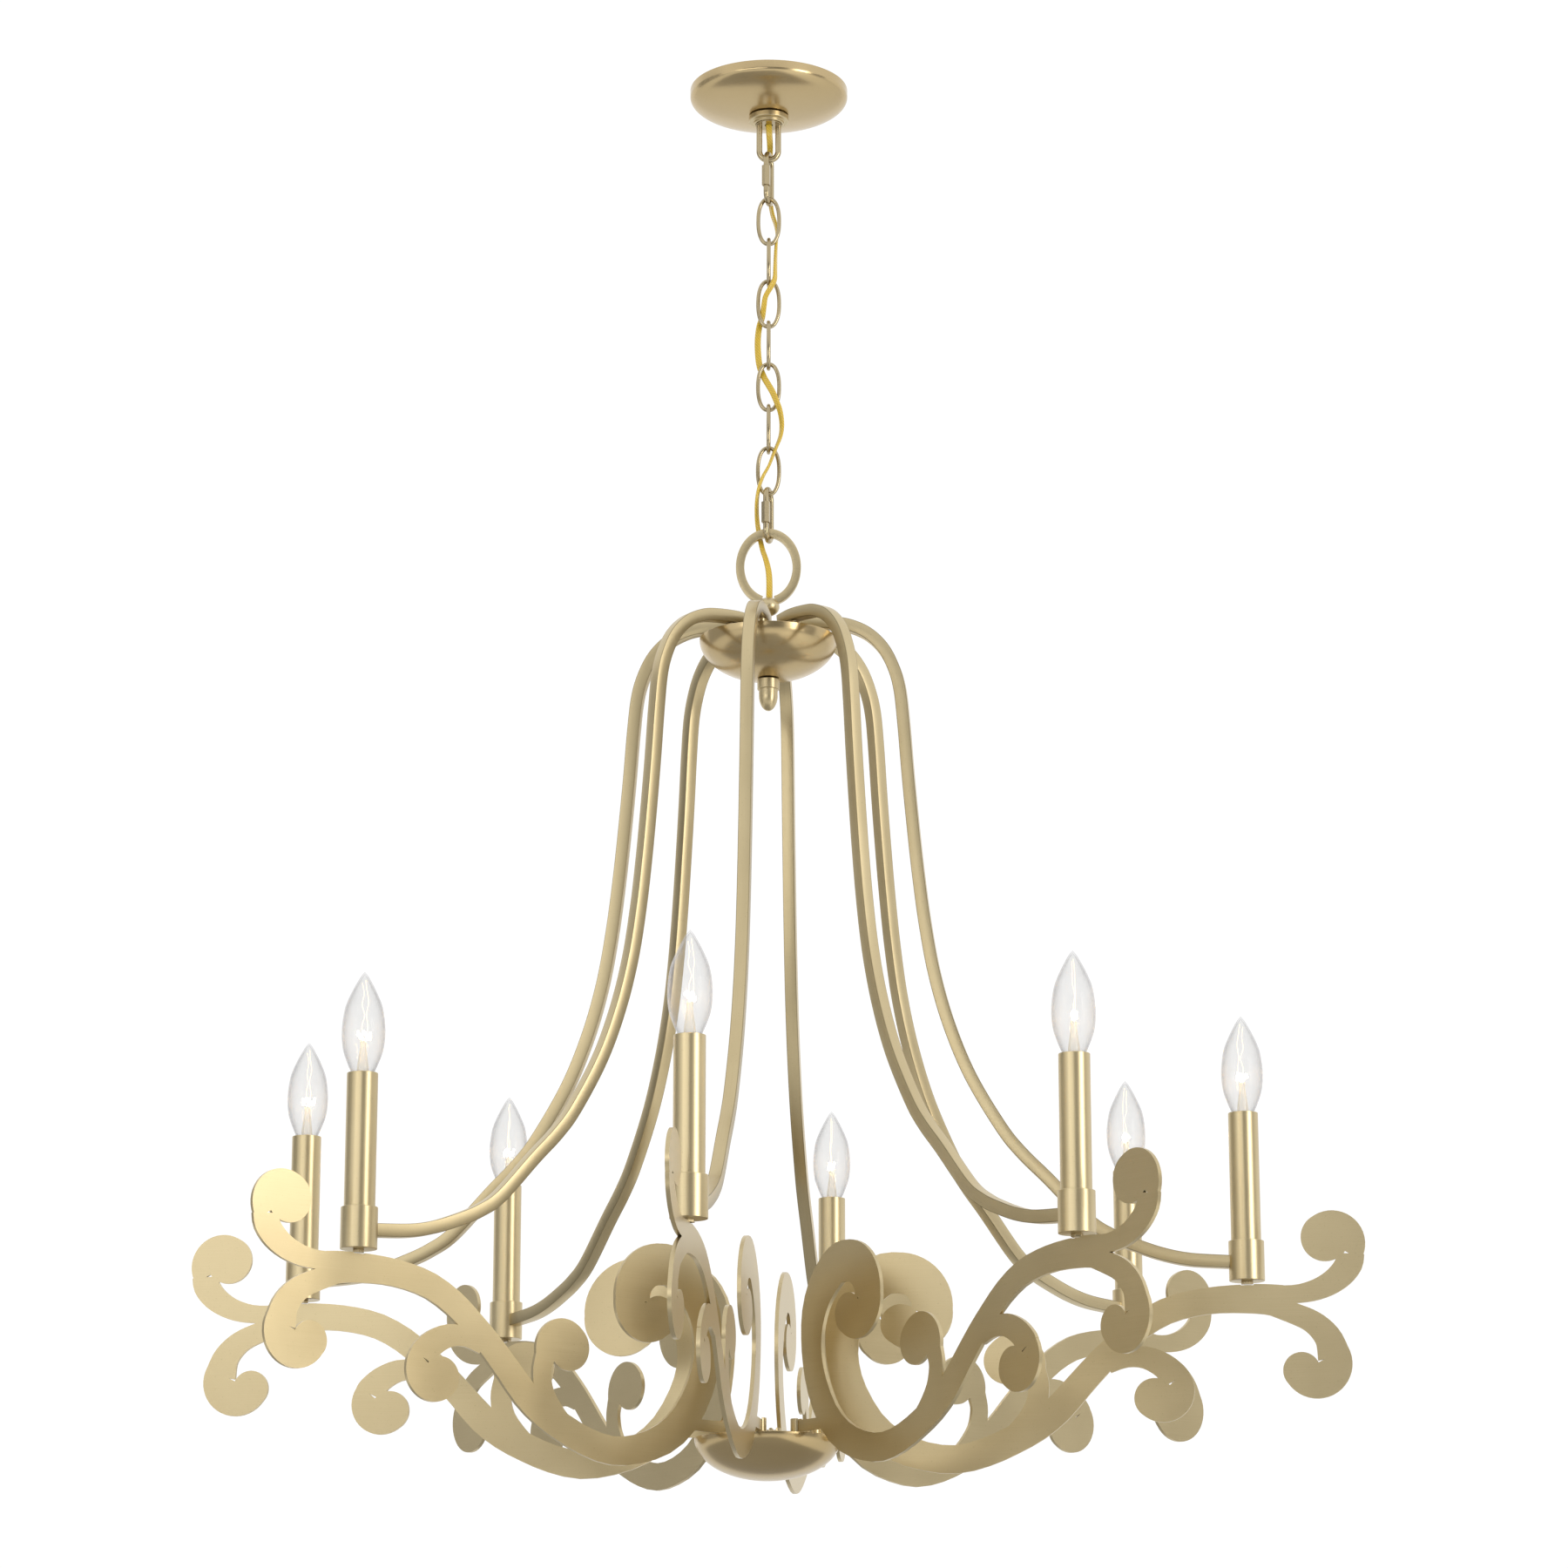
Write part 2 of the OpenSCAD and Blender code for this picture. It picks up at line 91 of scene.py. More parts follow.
# shader tools
class Field:
    # one socket of a node tree, so that maths on it reads as Python
    def __init__(self, tree, socket):
        self.tree, self.socket = tree, socket

    def calc(self, operation, *values):
        node = self.tree.nodes.new("ShaderNodeMath")
        node.operation = operation
        for slotIn, value in zip(node.inputs, values):
            if isinstance(value, Field):
                self.tree.links.new(value.socket, slotIn)
            else:
                slotIn.default_value = value
        return Field(self.tree, node.outputs[0])

    def __add__(self, other):
        return self.calc("ADD", self, other)

    def __sub__(self, other):
        return self.calc("SUBTRACT", self, other)

    def __rsub__(self, other):
        return self.calc("SUBTRACT", other, self)

    def __mul__(self, other):
        return self.calc("MULTIPLY", self, other)

    def __pow__(self, other):
        return self.calc("POWER", self, other)

    def __rpow__(self, other):
        return self.calc("POWER", other, self)

    def __abs__(self):
        return self.calc("ABSOLUTE", self)

    __radd__, __rmul__ = __add__, __mul__

    def clamped(self):
        return self.calc("MINIMUM", self.calc("MAXIMUM", self, 0.0), 1.0)

    def fraction(self):
        return self.calc("FRACT", self)


class Finish:
    # a material with one method that makes any node
    def __init__(self, name):
        self.material = bpy.data.materials.new(name)
        self.material.use_nodes = True
        self.tree = self.material.node_tree
        self.tree.nodes.clear()

    def node(self, kind, settings=None, sockets=None, out=0):
        made = self.tree.nodes.new(kind)
        for key, value in (settings or {}).items():
            setattr(made, key, value)
        for key, value in (sockets or {}).items():
            if isinstance(value, Field):
                self.tree.links.new(value.socket, made.inputs[key])
            else:
                made.inputs[key].default_value = value
        return Field(self.tree, made.outputs[out]) if made.outputs else made

    def mixed(self, factor, a, b):
        # by number, as a mix node names its colour sockets like its other ones
        return self.node("ShaderNodeMix", {"data_type": "RGBA"}, {0: factor, 6: a, 7: b}, out=2)

    def noise(self, where, scale, detail=3.0, roughness=0.5):
        return self.node("ShaderNodeTexNoise", None, {
            "Vector": where, "Scale": scale, "Detail": detail, "Roughness": roughness})

    def stretched(self, where, scale):
        return self.node("ShaderNodeMapping", None, {"Vector": where, "Scale": scale})

    def bumped(self, height, strength, distance=0.0002):
        return self.node("ShaderNodeBump", None, {
            "Strength": strength, "Distance": distance, "Height": height})

    def done(self, surface):
        self.node("ShaderNodeOutputMaterial", None, {"Surface": surface})
        return self.material


def rgb(color, share=1.0):
    return (share * color[0], share * color[1], share * color[2], 1.0)


def brushedMetal(name, look):
    # a metal with fine strokes along its grain, slow changes of tone, and small darker flecks
    m = Finish(name)
    solid = m.node("ShaderNodeTexCoord", out=3)
    place = m.node("ShaderNodeUVMap", {"uv_map": "grain"}) if look["grain"] == "uv" else solid
    fineScale = tuple(look["fineness"] * v for v in look["strokeScale"])
    strokes = m.noise(m.stretched(place, look["strokeScale"]), 1.0, 4.0, 0.65)
    fine = m.noise(m.stretched(place, fineScale), 1.0, 2.0, 0.6)
    cloud = m.noise(solid, look["cloudScale"], 3.0, 0.55)
    fleck = ((m.noise(solid, look["fleckScale"], 1.0) - look["fleckFrom"]) * look["fleckGain"]).clamped()
    tone = (cloud * 0.6 + strokes * 0.4 - 0.5) * look["contrast"] + 0.5
    color = m.mixed(tone.clamped(), rgb(look["dark"]), rgb(look["light"]))
    color = m.mixed(fleck * look["fleckTone"], color, rgb(look["dark"], 0.45))
    if "cornerShadeEvery" in look:
        # painted shade: a darker line along each corner of a square section, standing in for the shade
        # between its faces, counted around it on the grain map
        around = m.node("ShaderNodeSeparateXYZ", None, {"Vector": place}, out=1)
        turn = (around - look["cornerShadeAt"]) * (1 / look["cornerShadeEvery"])
        near = abs(turn.fraction() - 0.5)
        line = ((near - 0.5 + look["cornerShadeWidth"] / look["cornerShadeEvery"]) * look["cornerShadeGain"]).clamped()
        color = m.mixed(line * look["cornerShadeTone"], color, rgb(look["dark"], 0.35))
    rough = look["roughness"] + (strokes - 0.5) * look["roughSpread"] + (cloud - 0.5) * look["cloudSpread"]
    normal = m.bumped(strokes * 0.6 + fine * 0.4, look["bump"])
    surface = m.node("ShaderNodeBsdfPrincipled", None, {
        "Base Color": color, "Metallic": 1.0, "Roughness": rough.clamped(), "Normal": normal})
    return m.done(surface)


def plainFinish(name, look):
    # a moulded or plated surface: slow tone changes, a fine orange-peel bump
    m = Finish(name)
    solid = m.node("ShaderNodeTexCoord", out=3)
    cloud = m.noise(solid, look["cloudScale"], 3.0, 0.55)
    peel = m.noise(solid, look["peelScale"], 2.0)
    color = m.mixed(cloud, rgb(look["dark"]), rgb(look["light"]))
    rough = (look["roughness"] + (cloud - 0.5) * 0.16).clamped()
    surface = m.node("ShaderNodeBsdfPrincipled", None, {
        "Base Color": color, "Metallic": look["metallic"], "Roughness": rough,
        "Normal": m.bumped(peel, look["bump"])})
    return m.done(surface)


def clearGlass(name, look):
    # thin clear glass: see-through face on, brighter and greyer towards its edge
    m = Finish(name)
    solid = m.node("ShaderNodeTexCoord", out=3)
    ripple = m.noise(solid, look["rippleScale"], 2.0)
    normal = m.bumped(ripple, look["bump"], 0.0003)
    facing = m.node("ShaderNodeLayerWeight", None, {"Blend": look["edge"], "Normal": normal}, out=1)
    tint = m.mixed(ripple, rgb(look["dark"]), rgb(look["light"]))
    through = m.node("ShaderNodeBsdfTransparent", None, {"Color": rgb(look["through"])})
    gloss = m.node("ShaderNodeBsdfPrincipled", None, {
        "Base Color": tint, "Roughness": look["roughness"], "Metallic": 0.0, "Normal": normal, "IOR": 1.5,
        "Specular IOR Level": 0.9})
    cover = (facing ** look["power"] * look["rim"] + look["film"]).clamped()
    surface = m.node("ShaderNodeMixShader", None, {0: cover, 1: through, 2: gloss})
    return m.done(surface)


def glowing(name, look):
    # a glowing surface whose colour wanders between two warm tones: the hot filament, and a painted glow on
    # the bulb's stem wires
    m = Finish(name)
    grain = m.noise(m.node("ShaderNodeTexCoord", out=3), look["grainScale"], 2.0)
    warm = m.mixed(grain, rgb(look["cool"]), rgb(look["hot"]))
    surface = m.node("ShaderNodeBsdfPrincipled", None, {
        "Base Color": rgb(look["base"]), "Roughness": 0.5, "Emission Color": warm,
        "Emission Strength": look["strength"]})
    return m.done(surface)


def amberJacket(name, look):
    # clear golden jacket over two stranded wires, seen as a slow twist of lighter and darker gold
    m = Finish(name)
    place = m.node("ShaderNodeUVMap", {"uv_map": "grain"})
    strands = m.node("ShaderNodeTexWave", {"wave_type": "BANDS", "bands_direction": "DIAGONAL"}, {
        "Vector": place, "Scale": look["strandScale"], "Distortion": 1.0, "Detail": 1.0}, out=1)
    cloud = m.noise(m.stretched(place, look["cloudScale"]), 1.0, 2.0)
    color = m.mixed((strands * 0.45 + cloud * 0.55).clamped(), rgb(look["dark"]), rgb(look["light"]))
    surface = m.node("ShaderNodeBsdfPrincipled", None, {
        "Base Color": color, "Roughness": look["roughness"] + cloud * 0.12, "Coat Weight": look["coat"],
        "Normal": m.bumped(strands, look["bump"]), "Subsurface Weight": look["depth"],
        "Subsurface Radius": (0.003, 0.002, 0.0005), "Subsurface Scale": 0.5})
    return m.done(surface)


brassLook = {"dark": (0.48, 0.385, 0.215), "light": (0.67, 0.565, 0.35), "cloudScale": 9.0, "contrast": 1.3,
             "roughness": 0.33, "roughSpread": 0.16, "cloudSpread": 0.10, "bump": 0.10, "grain": "uv",
             "strokeScale": (14.0, 2600.0, 1.0), "fineness": 2.7, "fleckScale": 900.0, "fleckFrom": 0.70,
             "fleckGain": 9.0, "fleckTone": 0.35}
satinBrass = brushedMetal("satinBrass", brassLook)
# the arm finish has painted shade lines along its corners, spaced a quarter of the way around the arm's
# section
armBrassPaintedShade = brushedMetal("satinBrassArmPaintedShade", brassLook | {
    "cornerShadeEvery": 0.009307, "cornerShadeAt": 0.00035, "cornerShadeWidth": 0.0006, "cornerShadeTone": 0.6, "cornerShadeGain": 30.0})
dishBrass = brushedMetal("satinBrassDish", brassLook | {
    "dark": (0.42, 0.31, 0.15), "light": (0.62, 0.49, 0.28), "roughness": 0.22, "roughSpread": 0.12,
    "bump": 0.07})
plainBrass = brushedMetal("satinBrassTurned", brassLook | {
    "grain": "object", "strokeScale": (500.0, 500.0, 900.0)})
# painted shade: a darker copy of the satin brass, standing in for the dark reflections along the thin chain
# wire
shadedChainBrass = brushedMetal("shadedChainBrass", brassLook | {
    "dark": (0.34, 0.27, 0.15), "light": (0.55, 0.46, 0.29), "roughness": 0.17, "roughSpread": 0.05,
    "contrast": 0.6, "bump": 0.03, "strokeScale": (30.0, 400.0, 1.0)})
# painted shade: the same darker copy, with its grain in object space, for the loop, nuts, studs, screws and
# rod
shadedChainBrassPlain = brushedMetal("shadedChainBrassPlain", brassLook | {
    "dark": (0.36, 0.285, 0.16), "light": (0.56, 0.47, 0.30), "roughness": 0.2, "roughSpread": 0.10,
    "bump": 0.05, "grain": "object", "strokeScale": (700.0, 700.0, 60.0)})
zincSteel = plainFinish("zincSteel", {
    "dark": (0.36, 0.36, 0.35), "light": (0.62, 0.62, 0.60), "cloudScale": 120.0, "peelScale": 1800.0,
    "roughness": 0.36, "bump": 0.15, "metallic": 1.0})
greenPaint = plainFinish("greenPaint", {
    "dark": (0.02, 0.12, 0.05), "light": (0.04, 0.22, 0.09), "cloudScale": 150.0, "peelScale": 1500.0,
    "roughness": 0.4, "bump": 0.15, "metallic": 0.0})
socketPlastic = plainFinish("socketPlastic", {
    "dark": (0.72, 0.68, 0.60), "light": (0.86, 0.83, 0.76), "cloudScale": 60.0, "peelScale": 1600.0,
    "roughness": 0.5, "bump": 0.15, "metallic": 0.0})
nutPlastic = plainFinish("nutPlastic", {
    "dark": (0.55, 0.19, 0.03), "light": (0.75, 0.30, 0.06), "cloudScale": 90.0, "peelScale": 1400.0,
    "roughness": 0.45, "bump": 0.2, "metallic": 0.0})
bulbGlass = clearGlass("bulbGlass", {
    "dark": (0.32, 0.32, 0.34), "light": (0.54, 0.54, 0.56), "through": (0.975, 0.975, 0.972),
    "rippleScale": 70.0, "bump": 0.04, "roughness": 0.04, "edge": 0.45, "power": 2.3, "rim": 0.9,
    "film": 0.05})
stemGlass = clearGlass("stemGlass", {
    "dark": (0.80, 0.70, 0.52), "light": (0.95, 0.88, 0.74), "through": (0.975, 0.975, 0.972),
    "rippleScale": 400.0, "bump": 0.3, "roughness": 0.04, "edge": 0.5, "power": 1.2, "rim": 0.7,
    "film": 0.22})
hotWire = glowing("hotWire", {
    "base": (0.9, 0.7, 0.4), "cool": (1.0, 0.55, 0.20), "hot": (1.0, 0.82, 0.50), "strength": 26.0,
    "grainScale": 600.0})
# painted glow: the stem and support wires are not hot, their glow stands in for the filament's light on them
paintedGlowWires = glowing("paintedGlowWires", {
    "base": (0.9, 0.7, 0.4), "cool": (1.0, 0.62, 0.28), "hot": (1.0, 0.82, 0.52), "strength": 2.2,
    "grainScale": 600.0})
cordGold = amberJacket("cordGold", {
    "dark": (0.38, 0.235, 0.01), "light": (0.72, 0.50, 0.04), "strandScale": 260.0,
    "cloudScale": (25.0, 200.0, 1.0), "roughness": 0.24, "coat": 0.5, "depth": 0.08, "bump": 0.25})
print("finishes made")


# shape tools
def smoothCurve(points, steps):
    # Catmull-Rom: each span is a cubic through its two points, with slopes set by the points either side
    p = np.asarray(points, float)
    padded = np.vstack([p[:1], p, p[-1:]])
    t = (np.arange(steps) / steps)[:, None]
    a, b, c, d = (padded[i:len(padded) - 3 + i, None, :] for i in range(4))
    spans = 0.5 * (2 * b + (c - a) * t + (2 * a - 5 * b + 4 * c - d) * t ** 2
                   + (3 * b - a - 3 * c + d) * t ** 3)
    return np.vstack([spans.reshape(-1, p.shape[1]), p[-1:]])


def runLength(path):
    # distance along the path at each of its points
    return np.concatenate([[0.0], np.cumsum(np.linalg.norm(np.diff(path, axis=0), axis=1))])


def gridMesh(name, points, grain, finish, closed=True, sharp=40, grainAcross=False):
    # a surface from a grid of rows and columns; quads join each point to its neighbours in both directions.
    # the columns always close around, the rows when closed; else the first and last row are capped
    rows, columns = points.shape[:2]
    r = np.arange(rows if closed else rows - 1)[:, None]
    c = np.arange(columns)[None, :]
    r2, c2 = (r + 1) % rows, (c + 1) % columns
    quads = np.stack([r * columns + c, r * columns + c2, r2 * columns + c2, r2 * columns + c], -1)
    faces = quads.reshape(-1, 4).tolist()
    if not closed:
        faces += [list(range(columns))[::-1], list(range((rows - 1) * columns, rows * columns))]
    mesh = bpy.data.meshes.new(name)
    mesh.from_pydata(points.reshape(-1, 3).tolist(), [], faces)
    # the grain map: wrapped faces carry on past the last row or column instead of running back
    u, v = grain
    nextU = np.append(u[1:], 2 * u[-1] - u[-2])
    nextV = np.append(v[1:], 2 * v[-1] - v[-2])
    rr, cc = (np.broadcast_to(x, (len(r), c.shape[1])).ravel() for x in (r, c))
    corners = np.stack([np.stack([u[rr], v[cc]], -1), np.stack([u[rr], nextV[cc]], -1),
                        np.stack([nextU[rr], nextV[cc]], -1), np.stack([nextU[rr], v[cc]], -1)], 1)
    corners = corners.reshape(-1, 2)
    if not closed:
        corners = np.vstack([corners, np.stack([np.zeros(columns), v[::-1]], -1),
                             np.stack([np.zeros(columns), v], -1)])
    if grainAcross:
        corners = corners[:, ::-1]
    mesh.uv_layers.new(name="grain").data.foreach_set("uv", corners.astype(np.float32).ravel())
    work = bmesh.new()
    work.from_mesh(mesh)
    bmesh.ops.remove_doubles(work, verts=work.verts, dist=1e-7)
    bmesh.ops.delete(work, geom=[e for e in work.edges if not e.link_faces], context="EDGES")
    bmesh.ops.recalc_face_normals(work, faces=work.faces)
    work.to_mesh(mesh)
    work.free()
    mesh.polygons.foreach_set("use_smooth", np.ones(len(mesh.polygons), bool))
    mesh.set_sharp_from_angle(angle=math.radians(sharp))
    mesh.materials.append(finish)
    piece = bpy.data.objects.new(name, mesh)
    bpy.context.scene.collection.objects.link(piece)
    return piece


def sweep(name, path, across, profile, finish, closed=False, sharp=40, start=0.0):
    # a profile carried along a path: point = path + across * first + (direction x across) * second
    path = np.asarray(path, float)
    ahead = np.roll(path, -1, 0) - np.roll(path, 1, 0) if closed else np.gradient(path, axis=0)
    ahead /= np.linalg.norm(ahead, axis=1)[:, None]
    side = np.broadcast_to(np.asarray(across, float), path.shape)
    side = side - ahead * np.sum(side * ahead, 1)[:, None]
    side /= np.linalg.norm(side, axis=1)[:, None]
    up = np.cross(ahead, side)
    profile = np.asarray(profile, float)
    if profile.ndim == 2:
        profile = np.broadcast_to(profile, (len(path),) + profile.shape)
    points = path[:, None] + side[:, None] * profile[..., :1] + up[:, None] * profile[..., 1:]
    around = runLength(np.vstack([profile[0], profile[0][:1]]))[:-1]
    return gridMesh(name, points, (start + runLength(path), around), finish, closed, sharp)


def turned(name, profile, centre, finish, segments, sharp=40, grainAround=True):
    # a surface of revolution: (radius, height) goes to (radius cos a, radius sin a, height) about the centre
    profile = np.asarray(profile, float)
    a = np.linspace(0, 2 * math.pi, segments, endpoint=False)
    points = np.stack([profile[:, :1] * np.cos(a), profile[:, :1] * np.sin(a),
                       np.broadcast_to(profile[:, 1:], (len(profile), segments))], -1)
    points = points + np.asarray(centre, float)
    grain = (runLength(profile), a * profile[:, 0].max())
    return gridMesh(name, points, grain, finish, True, sharp, grainAround)


def circle(radius, count):
    # points evenly around a circle: (radius cos a, radius sin a)
    a = np.linspace(0, 2 * math.pi, count, endpoint=False)
    return np.stack([radius * np.cos(a), radius * np.sin(a)], -1)


def roundedBox(width, height, radius, steps=3):
    # a rectangle whose corners are quarter circles
    corner = np.linspace(0, math.pi / 2, steps + 1)
    rows = []
    for k, (sx, sy) in enumerate(((1, 1), (-1, 1), (-1, -1), (1, -1))):
        a = corner + k * math.pi / 2
        rows.append(np.stack([sx * (width / 2 - radius) + radius * np.cos(a),
                              sy * (height / 2 - radius) + radius * np.sin(a)], -1))
    return np.vstack(rows)


def spun(points, degrees):
    # turned about the upright axis
    c, s = math.cos(math.radians(degrees)), math.sin(math.radians(degrees))
    return np.asarray(points) @ np.array([[c, s, 0], [-s, c, 0], [0, 0, 1]])


def bevelled(piece, width, segments=2, angle=35):
    edge = piece.modifiers.new("edge", "BEVEL")
    edge.width, edge.segments, edge.limit_method = width, segments, "ANGLE"
    edge.angle_limit, edge.harden_normals = math.radians(angle), True
    return piece


def roundedCopy(node, name, width, finish, grain=None, angle=35):
    # a copy of a CAD node with its loose triangles merged and its stored normals dropped; where a width is
    # given, flat areas are joined and sharp edges broken by that width
    mesh = bpy.data.meshes.new(name)
    work = bmesh.new()
    work.from_mesh(nodes[node].data)
    bmesh.ops.remove_doubles(work, verts=work.verts, dist=2e-6)
    if width:
        bmesh.ops.dissolve_limit(work, angle_limit=math.radians(0.6), verts=work.verts, edges=work.edges)
    for layer in list(work.loops.layers.uv):
        work.loops.layers.uv.remove(layer)
    work.to_mesh(mesh)
    work.free()
    if "custom_normal" in mesh.attributes:
        mesh.attributes.remove(mesh.attributes["custom_normal"])
    if grain is not None:
        co = np.zeros(len(mesh.vertices) * 3)
        mesh.vertices.foreach_get("co", co)
        index = np.zeros(len(mesh.loops), int)
        mesh.loops.foreach_get("vertex_index", index)
        uv = grain(co.reshape(-1, 3))[index]
        mesh.uv_layers.new(name="grain").data.foreach_set("uv", uv.astype(np.float32).ravel())
    mesh.polygons.foreach_set("use_smooth", np.full(len(mesh.polygons), width > 0))
    mesh.set_sharp_from_angle(angle=math.radians(angle))
    mesh.materials.clear()
    mesh.materials.append(finish)
    piece = bpy.data.objects.new(name, mesh)
    bpy.context.scene.collection.objects.link(piece)
    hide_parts(node)
    return bevelled(piece, width, 2, angle) if width else piece


def settle(piece, body, slotName, *stands):
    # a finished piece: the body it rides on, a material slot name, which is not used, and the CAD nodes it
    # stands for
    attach(piece, body)
    if stands:
        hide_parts(*stands)
    return piece


# power cord, in ten lengths that each cross one joint of the chain
cordShape = {"width": 0.0051, "thickness": 0.003, "groove": 0.34, "grooveWidth": 0.35, "sides": 20,
             "steps": 5, "turns": 1.0, "topSeam": -0.045, "lowSeam": -0.405}
chainTurn = 9.0
# across, away and up from the ceiling, in millimetres, before the chain's turn; points listed one by one
cordRoute = [
    (0, 0, -24), (0, 0, -31), (0.5, 1, -39), (1, 5, -46), (1, 11, -53), (1, 14, -62), (1, 14.5, -76),
    (1.5, 14, -90), (3, 11, -102), (5.5, 7, -112), (6.7, 5, -121), (6, 3.5, -132), (5.5, 1, -143),
    (5.2, -2.5, -154), (4.7, -5.2, -164), (1.2, -6, -171.5), (-2.5, -4, -178), (-3.8, -0.5, -185),
    (-5, 3.2, -192.5), (-7.5, 5, -201), (-8.6, 5.2, -212), (-8.3, 5.2, -224), (-7, 5, -234), (-4, 3, -243),
    (-0.5, 0, -250.5), (3, -3.2, -258), (6, -4.8, -266), (9, -4.8, -274.5), (10.5, -3.5, -285),
    (9.5, -3.5, -295), (6, -4.8, -305), (3, -5.2, -313), (0, -5.2, -321), (-4, -5, -328.5),
    (-6.8, -4.8, -336), (-8.6, -4.2, -344), (-9.3, -1.5, -353), (-9, 2.5, -362), (-8, 5.2, -370),
    (-6.5, 5.8, -378), (-4.5, 5.2, -387), (-1.8, 3.2, -396), (0.2, 1.2, -406), (0.8, 0.3, -417),
    (0.6, 0, -431)]
linkNumbers = range(1, linkCount + 1)
chainBodies = (["ceiling_mount", "quick_link_top_body"] + ["chain_%d" % k for k in linkNumbers]
               + ["quick_link_bottom_body", "fixture"])
chainNodes = ["quick_link_top"] + ["link_%d" % k for k in linkNumbers] + ["quick_link_bottom"]


def twinSection(shape):
    # two lobes side by side: an oval whose thickness dips in the middle
    a = np.linspace(0, 2 * math.pi, shape["sides"], endpoint=False)
    dip = 1 - shape["groove"] * np.exp(-(np.cos(a) / shape["grooveWidth"]) ** 2)
    return np.stack([shape["width"] / 2 * np.cos(a), shape["thickness"] / 2 * np.sin(a) * dip], -1)


def makeCord(shape):
    route = spun(smoothCurve(np.array(cordRoute) * 0.001, shape["steps"]), chainTurn)
    along = runLength(route)
    twist = 2 * math.pi * shape["turns"] * along / along[-1]
    flat = twinSection(shape)
    c, s = np.cos(twist)[:, None], np.sin(twist)[:, None]
    profile = np.stack([flat[:, 0] * c - flat[:, 1] * s, flat[:, 0] * s + flat[:, 1] * c], -1)
    # each length begins and ends at the middle of a link, but for the first and last
    middles = [shape["topSeam"]] + [(low[2] + high[2]) / 2 for low, high in map(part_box, chainNodes)]
    middles.append(shape["lowSeam"])
    cuts = [0] + [int(np.argmin(abs(route[:, 2] - z))) for z in middles[1:-1]] + [len(route) - 1]
    side = spun(np.array([[1.0, 0, 0]]), chainTurn)[0]
    for k in range(len(chainBodies) - 1):
        a, b = cuts[k], cuts[k + 1] + 1
        path = route[a:b]
        piece = sweep("cord_%d" % (k + 1), path, side, profile[a:b], cordGold, start=along[a])
        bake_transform(piece)
        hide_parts("power_cord")


makeCord(cordShape)
print("cord made")

# chain: links, quick links and their nuts
chainShape = {"wire": 0.0032, "quickWire": 0.0042, "width": 0.020, "around": 20, "bend": 28, "leg": 5,
              "power": 2.3, "quickTurn": -16.0, "gapLow": 0.0075, "gapHigh": 0.0039, "nutEdge": 0.0004}


def ovalPath(length, width, wire, bend, power):
    # a superellipse counted from the middle of the left leg: |x / a| ^ power + |z / b| ^ power = 1
    t = np.linspace(math.pi, -math.pi, 4 * bend, endpoint=False)
    c, s = np.cos(t), np.sin(t)
    return np.stack([(width - wire) / 2 * np.sign(c) * abs(c) ** (2 / power),
                     (length - wire) / 2 * np.sign(s) * abs(s) ** (2 / power)], -1)


def leggedOval(length, width, wire, bend, leg):
    # two straight legs joined by two half circles, counted from the middle of the left leg, in across and up
    r, half = (width - wire) / 2, (length - width) / 2
    top, low = np.linspace(math.pi, 0, bend), np.linspace(0, -math.pi, bend)
    rise = np.stack([np.full(leg, -r), np.linspace(0, half, leg, endpoint=False)], -1)
    over = np.stack([r * np.cos(top), half + r * np.sin(top)], -1)
    fall = np.stack([np.full(2 * leg, r), np.linspace(half, -half, 2 * leg + 2)[1:-1]], -1)
    under = np.stack([r * np.cos(low), -half + r * np.sin(low)], -1)
    back = np.stack([np.full(leg, -r), np.linspace(-half, 0, leg + 1, endpoint=False)[1:]], -1)
    return np.vstack([rise, over, fall, under, back])


def standing(flat, turn, middle):
    # puts across and up into the upright plane at that turn
    c, s = math.cos(math.radians(turn)), math.sin(math.radians(turn))
    return np.stack([flat[:, 0] * c, flat[:, 0] * s, flat[:, 1] + middle], -1)


def linkSweep(name, flat, turn, middle, wire, sides, closed):
    # a wire along a flat outline that stands upright at that turn
    normal = standing(np.array([[1.0, 0.0]]), turn + 90, 0)[0]
    return sweep(name, standing(flat, turn, middle), normal, circle(wire / 2, sides), shadedChainBrass, closed)


def gapped(flat, leg, gapLow, gapHigh):
    # opens an outline on its left leg, so that it starts just above the gap and ends just below it
    onLeft = flat[:, 0] < 1e-4 - leg
    inGap = onLeft & (flat[:, 1] > -gapLow) & (flat[:, 1] < -gapHigh)
    flat, onLeft = flat[~inGap], onLeft[~inGap]
    first = int(np.argmin(np.where(onLeft & (flat[:, 1] > -gapHigh - 1e-6), flat[:, 1], np.inf)))
    flat = np.vstack([[[-leg, -gapHigh]], np.roll(flat, -first, 0), [[-leg, -gapLow]]])
    return flat[np.append(np.linalg.norm(np.diff(flat, axis=0), axis=1) > 1e-6, True)]


